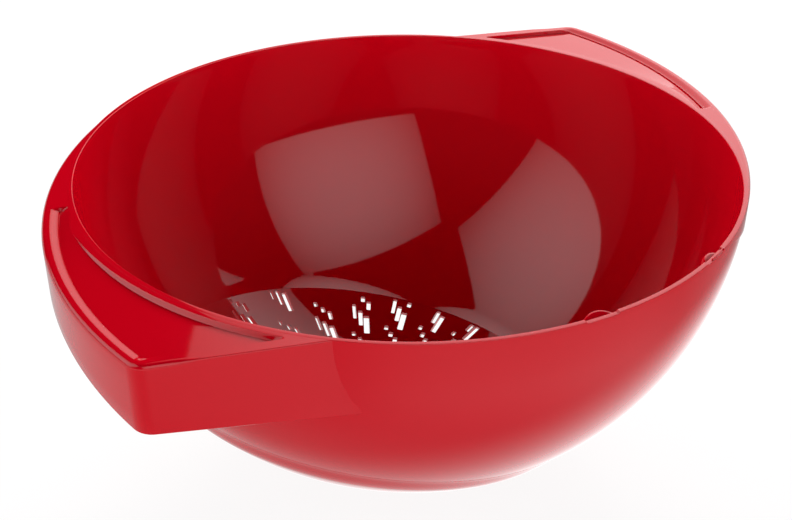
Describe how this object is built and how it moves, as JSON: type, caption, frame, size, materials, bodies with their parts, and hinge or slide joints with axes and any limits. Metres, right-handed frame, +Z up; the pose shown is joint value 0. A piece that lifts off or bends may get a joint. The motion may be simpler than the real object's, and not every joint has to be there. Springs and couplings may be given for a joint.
{
  "type": "kitchen colander",
  "caption": "Red plastic colander: a half-round bowl with a perforated round floor, a low foot ring and two flat, hollow side handles level with the rim.",
  "frame": {"origin": "on the table, under the middle of the bowl, which is also the middle of the box round the whole part", "axes": "+Z up along the bowl's axis, +X through the corner of the right handle, +Y square to both"},
  "size_m": [0.3184, 0.2536, 0.1312],
  "materials": {
    "gloss_red": "gloss",
    "satin_red": "satin"
  },
  "bodies": {
    "root": {"bowl_wall": "gloss_red", "strainer_floor": "gloss_red", "foot_ring": "satin_red", "right_handle_top": "gloss_red", "right_handle_skirt": "satin_red", "left_handle_top": "gloss_red", "left_handle_skirt": "satin_red"}
  },
  "joints": []
}
